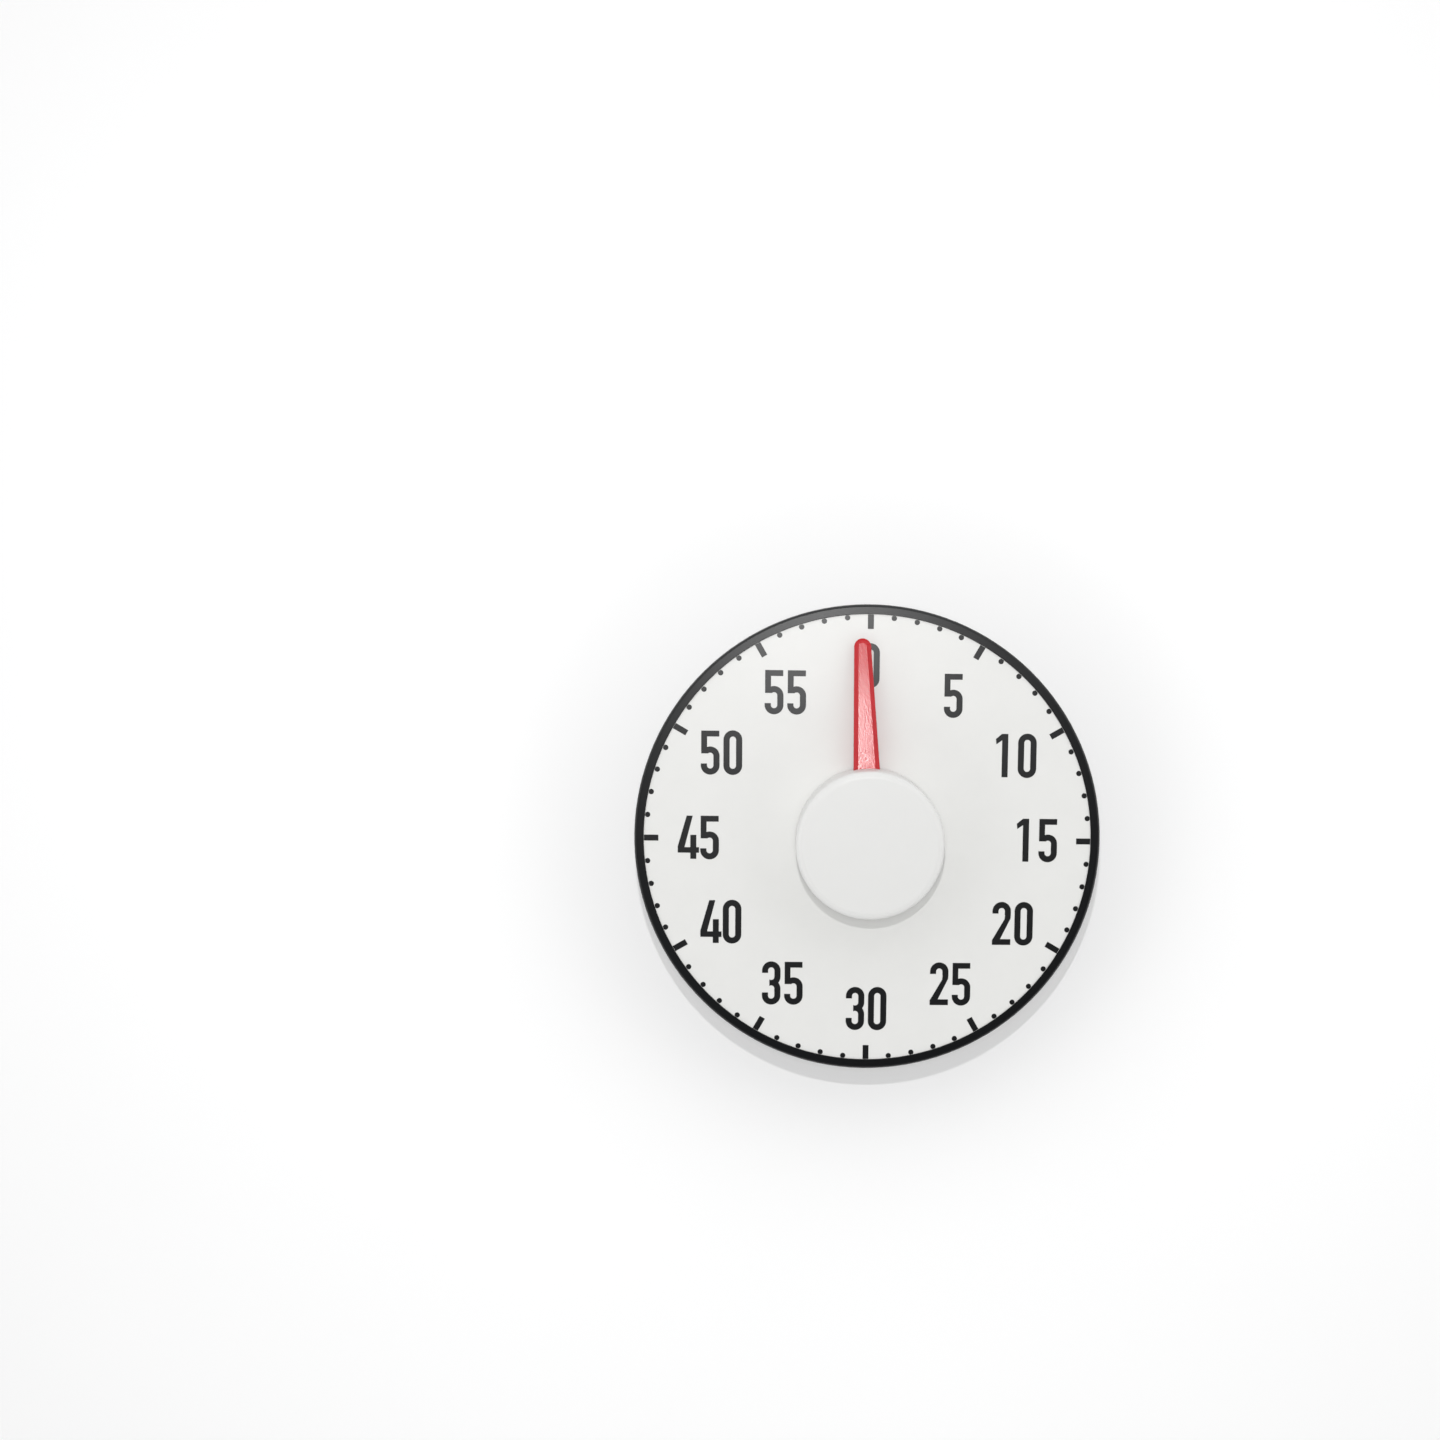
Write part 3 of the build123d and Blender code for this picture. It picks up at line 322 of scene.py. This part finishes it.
def worked_metal():
    """Rolled, turned or stamped metal: fine working lines one way, and tarnish in patches."""
    tree, given, out = group_tree(
        "worked_metal",
        [
            ("Line Size", "NodeSocketFloat", 900.0),
            ("Stretch", "NodeSocketVector", (1.0, 18.0, 1.0)),
            ("Depth", "NodeSocketFloat", 0.15),
        ],
        [
            ("Tarnish", "NodeSocketFloat"),
            ("Gloss Change", "NodeSocketFloat"),
            ("Normal", "NodeSocketVector"),
        ],
    )
    place = tree.nodes.new("ShaderNodeTexCoord")
    pulled = node(tree, "ShaderNodeVectorMath", set_operation="MULTIPLY")
    tree.links.new(place.outputs["Object"], pulled.inputs[0])
    tree.links.new(given.outputs["Stretch"], pulled.inputs[1])
    lines = node(tree, "ShaderNodeTexNoise", Detail=6.0, Roughness=0.7)
    tree.links.new(pulled.outputs["Vector"], lines.inputs["Vector"])
    tree.links.new(given.outputs["Line Size"], lines.inputs["Scale"])
    spots = node(tree, "ShaderNodeTexNoise", Scale=320.0, Detail=5.0, Roughness=0.6)
    tree.links.new(place.outputs["Object"], spots.inputs["Vector"])
    bump = node(tree, "ShaderNodeBump", Distance=0.00002)
    tree.links.new(lines.outputs["Fac"], bump.inputs["Height"])
    tree.links.new(given.outputs["Depth"], bump.inputs["Strength"])
    tree.links.new(bump.outputs["Normal"], out.inputs["Normal"])
    tree.links.new(ramp(tree, spots.outputs["Fac"], 0.4, 0.75), out.inputs["Tarnish"])
    tree.links.new(ramp(tree, lines.outputs["Fac"], 0.3, 0.7), out.inputs["Gloss Change"])
    return tree


METAL = worked_metal()


def metal(name, base, dull, bright, rough, lines=900.0, stretch=(1.0, 18.0, 1.0), depth=0.2):
    """Bare or plated metal: tarnish in patches, bright rubbed edges, fine working lines."""
    material = bpy.data.materials.new(name)
    material.use_nodes = True
    tree = material.node_tree
    shader = tree.nodes["Principled BSDF"]
    shader.inputs["Metallic"].default_value = 1.0
    skin = tree.nodes.new("ShaderNodeGroup")
    skin.node_tree = METAL
    skin.inputs["Line Size"].default_value = lines
    skin.inputs["Stretch"].default_value = stretch
    skin.inputs["Depth"].default_value = depth
    edge = tree.nodes.new("ShaderNodeGroup")
    edge.node_tree = WORN
    edge.inputs["Width"].default_value = 0.2 * MM
    edge.inputs["Amount"].default_value = 0.6
    colour = blended(tree, skin.outputs["Tarnish"], base, dull)
    colour = blended(tree, edge.outputs["Wear"], colour, bright)
    tree.links.new(colour, shader.inputs["Base Color"])
    tree.links.new(grade(tree, skin.outputs["Gloss Change"], *rough), shader.inputs["Roughness"])
    tree.links.new(skin.outputs["Normal"], shader.inputs["Normal"])
    return material


screw_zinc = metal(
    "screw_zinc",
    base=(0.56, 0.57, 0.60),
    dull=(0.42, 0.42, 0.43),
    bright=(0.75, 0.76, 0.78),
    rough=(0.22, 0.38),
)
soft_edged("back_screws", screw_zinc, radius=0.1)


# ---- Magnets ----------------------------------------------------------------------------
# Two nickel-plated disc magnets, pressed and glued into the back cover's pockets so that the
# timer stays on a steel door. Their rims are tumbled round.

magnet_nickel = metal(
    "magnet_nickel",
    base=(0.53, 0.52, 0.50),
    dull=(0.40, 0.39, 0.38),
    bright=(0.70, 0.69, 0.67),
    rough=(0.12, 0.25),
    lines=300.0,
)
soft_edged("magnets", magnet_nickel, radius=0.25)


# ---- Bell -------------------------------------------------------------------------------
# A pressed cup of bright plated steel under the movement, held by one screw on a turned
# post so that its rim rings free.

bell_steel = metal(
    "bell_steel",
    base=(0.66, 0.66, 0.66),
    dull=(0.50, 0.50, 0.50),
    bright=(0.80, 0.80, 0.80),
    rough=(0.08, 0.18),
    lines=400.0,
    depth=0.08,
)
arbor_steel = metal(
    "arbor_steel",
    base=(0.58, 0.58, 0.60),
    dull=(0.42, 0.42, 0.44),
    bright=(0.75, 0.75, 0.77),
    rough=(0.15, 0.30),
    stretch=(1.0, 1.0, 12.0),
)
dress(bell_steel, "bell")
dress(arbor_steel, "bell_post")
dress(screw_zinc, "bell_screw")


# ---- Movement frame ---------------------------------------------------------------------
# Two stamped steel plates that carry every pivot, kept apart by turned pillars. Small screws
# close the frame and hang it under the dial.

plate_steel = metal(
    "plate_steel",
    base=(0.50, 0.51, 0.53),
    dull=(0.38, 0.38, 0.39),
    bright=(0.68, 0.68, 0.70),
    rough=(0.28, 0.45),
)
dress(plate_steel, "front_plate", "rear_plate")
dress(arbor_steel, "pillars")
dress(screw_zinc, "pillar_screws", "dial_screws")


# ---- Mainspring and click ---------------------------------------------------------------
# The blued strip spring on the main arbor, hooked to a post in the rear plate. The ratchet
# wheel and its sprung click tie the arbor to the brass great wheel when the spring drives.

spring_steel = metal(
    "spring_steel",
    base=(0.16, 0.19, 0.30),
    dull=(0.12, 0.13, 0.18),
    bright=(0.40, 0.42, 0.50),
    rough=(0.18, 0.32),
    stretch=(1.0, 1.0, 10.0),
)
wheel_brass = metal(
    "wheel_brass",
    base=(0.72, 0.50, 0.20),
    dull=(0.52, 0.35, 0.14),
    bright=(0.86, 0.66, 0.32),
    rough=(0.20, 0.36),
)
dress(spring_steel, "mainspring", "click_spring")
dress(arbor_steel, "main_arbor", "spring_post", "click_stud")
dress(plate_steel, "ratchet_wheel", "click")
dress(wheel_brass, "great_wheel", "wheel_collar")


# ---- Wheel train ------------------------------------------------------------------------
# Stamped brass wheels riveted on cut steel pinions, from the great wheel to the escape wheel.
# The strike wheel that beats the hammer sits on the second arbor.

dress(wheel_brass, "second_wheel", "third_wheel", "escape_wheel")
dress(arbor_steel, "second_pinion", "third_pinion", "escape_pinion")
dress(plate_steel, "strike_wheel")


# ---- Escapement -------------------------------------------------------------------------
# The steel pin lever rocks between the escape wheel and the balance, and the brass balance
# swings on its blued hairspring between two brass pivot screws.

dress(plate_steel, "pallet_lever")
dress(arbor_steel, "pallet_staff", "pallet_pins", "balance_staff", "roller")
dress(wheel_brass, "balance_wheel", "hairspring_collet", "hairspring_stud", "pivot_screws")
dress(spring_steel, "hairspring")


# ---- Alarm work -------------------------------------------------------------------------
# A steel cam on the main arbor lets its sprung lever drop at zero, which frees the hammer to
# strike the bell. The stop pin in the cam ends the knob's turn.

dress(plate_steel, "alarm_cam", "alarm_lever", "hammer", "hammer_verge")
dress(arbor_steel, "stop_pin", "lever_stud", "hammer_arbor")
dress(spring_steel, "lever_spring")


# ---- Dial -------------------------------------------------------------------------------
# The satin white ABS face plate. Hooks moulded under its edge snap into the case ring, and
# the movement hangs from the posts on its back.

dial_white = plastic(
    "dial_white",
    base=(0.70, 0.70, 0.685),
    other=(0.685, 0.685, 0.67),
    worn=(0.60, 0.60, 0.58),
    rough=(0.34, 0.44),
    wear=0.2,
)
soft_edged("dial", dial_white, radius=0.05, steps=2)


# ---- Printed scale ----------------------------------------------------------------------
# Bars, dots and numbers in glossy black ink, pad-printed on the dial in one stroke.

print_black = plastic(
    "print_black",
    base=(0.0015, 0.0018, 0.0024),
    other=(0.0025, 0.0030, 0.0038),
    worn=(0.012, 0.012, 0.013),
    rough=(0.33, 0.38),
    depth=0.08,
    wear=0.1,
    shine=0.62,
)
dress(print_black, "dial_marks")


# ---- Knob clip --------------------------------------------------------------------------
# The bent spring strip inside the knob that grips the flat on the main arbor.

dress(spring_steel, "knob_clip")


# ---- Pointer ----------------------------------------------------------------------------
# The glossy red moulded hand, held under the knob's skirt by its own ring. It turns with the
# knob and clears the dial.

pointer_red = plastic(
    "pointer_red",
    base=(0.47, 0.003, 0.009),
    other=(0.43, 0.002, 0.007),
    worn=(0.55, 0.04, 0.06),
    rough=(0.13, 0.25),
    grain=3200.0,
    depth=0.55,
    wear=0.3,
    shine=0.46,
)
soft_edged("pointer", pointer_red, "setting_knob", radius=0.15, corner=25.0)


# ---- Knob -------------------------------------------------------------------------------
# The plain white moulded cap that a hand turns, pressed on the main arbor over the pointer.

knob_white = plastic(
    "knob_white",
    base=(0.645, 0.645, 0.635),
    other=(0.635, 0.635, 0.625),
    worn=(0.58, 0.58, 0.57),
    rough=(0.34, 0.44),
    depth=0.08,
    wear=0.2,
)
soft_edged("knob", knob_white, "setting_knob", radius=0.12)


# ---- Floor ------------------------------------------------------------------------------
# The pale matt table top that the timer lies on, a sheet of painted board three metres wide.

FLOOR_HALF = 1.5


def floor_material():
    material = bpy.data.materials.new("floor_pale")
    material.use_nodes = True
    tree = material.node_tree
    shader = tree.nodes["Principled BSDF"]
    place = tree.nodes.new("ShaderNodeTexCoord")
    cloud = node(tree, "ShaderNodeTexNoise", Scale=9.0, Detail=3.0)
    tree.links.new(place.outputs["Object"], cloud.inputs["Vector"])
    colour = blended(tree, cloud.outputs["Fac"], (0.93, 0.93, 0.93), (0.96, 0.96, 0.96))
    tree.links.new(colour, shader.inputs["Base Color"])
    shader.inputs["Roughness"].default_value = 0.8
    return material


floor_mesh = bpy.data.meshes.new("floor")
floor_corners = [
    (-FLOOR_HALF, -FLOOR_HALF, 0),
    (FLOOR_HALF, -FLOOR_HALF, 0),
    (FLOOR_HALF, FLOOR_HALF, 0),
    (-FLOOR_HALF, FLOOR_HALF, 0),
]
floor_mesh.from_pydata(floor_corners, [], [(0, 1, 2, 3)])
floor = bpy.data.objects.new("floor", floor_mesh)
floor_mesh.materials.append(floor_material())
bpy.context.scene.collection.objects.link(floor)


# ---- Lights -----------------------------------------------------------------------------
# A small lamp overhead draws the knob's thin crescent shadow. A wider lamp fills in, and a
# tent of soft light stands all round, with a dark opening over the timer.

DIAL = Vector((0.0, 0.0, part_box("dial")[1].z))


def aimed(thing, place, up):
    """Points a lamp or camera from a place at the middle of the dial."""
    back = (place - DIAL).normalized()
    side = up.cross(back).normalized()
    top = back.cross(side)
    turn = Matrix((side, top, back)).transposed()
    thing.matrix_world = Matrix.Translation(place) @ turn.to_4x4()


def tilt(x_deg, y_deg):
    """The direction that leans from straight up by these angles towards +X and +Y."""
    return Vector((math.tan(math.radians(x_deg)), math.tan(math.radians(y_deg)), 1.0))


def round_lamp(name, width, watts, lean, distance):
    """A round lamp that faces the dial from a leaning direction."""
    light = bpy.data.lights.new(name, "AREA")
    light.shape = "DISK"
    light.size = width
    light.energy = watts
    lamp = bpy.data.objects.new(name, light)
    bpy.context.scene.collection.objects.link(lamp)
    aimed(lamp, DIAL + lean.normalized() * distance, Vector((0.1, 1, 0.05)))
    return lamp


round_lamp("camera_lamp", 0.004, 0.22, tilt(-2.5, 13.3), 0.30)
round_lamp("fill_lamp", 0.06, 0.34, tilt(-2.0, 6.0), 0.40).visible_glossy = False

world = bpy.data.worlds.new("studio")
bpy.context.scene.world = world
world.use_nodes = True
sky = world.node_tree
around = sky.nodes.new("ShaderNodeTexCoord")
opening = node(sky, "ShaderNodeVectorMath", set_operation="DOT_PRODUCT")
opening.inputs[1].default_value = tilt(2.0, -10.0).normalized()
sky.links.new(around.outputs["Generated"], opening.inputs[0])
tent = node(
    sky,
    "ShaderNodeMapRange",
    set_interpolation_type="SMOOTHSTEP",
    From_Min=0.87,
    From_Max=0.72,
    To_Min=0.0,
    To_Max=1.2,
)
sky.links.new(opening.outputs["Value"], tent.inputs["Value"])
sky.nodes["Background"].inputs["Color"].default_value = (1.0, 1.0, 1.0, 1.0)
sky.links.new(tent.outputs["Result"], sky.nodes["Background"].inputs["Strength"])


# ---- Camera -----------------------------------------------------------------------------
# It looks down on the dial, a few degrees off the vertical, with the timer low and to the
# right in the frame.

eye = bpy.data.cameras.new("eye")
eye.lens = 41.66
eye.sensor_width = 36.0
eye.shift_x = -0.1029
eye.shift_y = 0.0830
eye.clip_start = 0.01
eye.dof.use_dof = False
camera = bpy.data.objects.new("eye", eye)
bpy.context.scene.collection.objects.link(camera)
aimed(camera, DIAL + tilt(-2.08, 5.55).normalized() * 0.2874, Vector((-0.0125, 1, 0)))
bpy.context.scene.camera = camera
bpy.context.scene.view_settings.view_transform = "Standard"
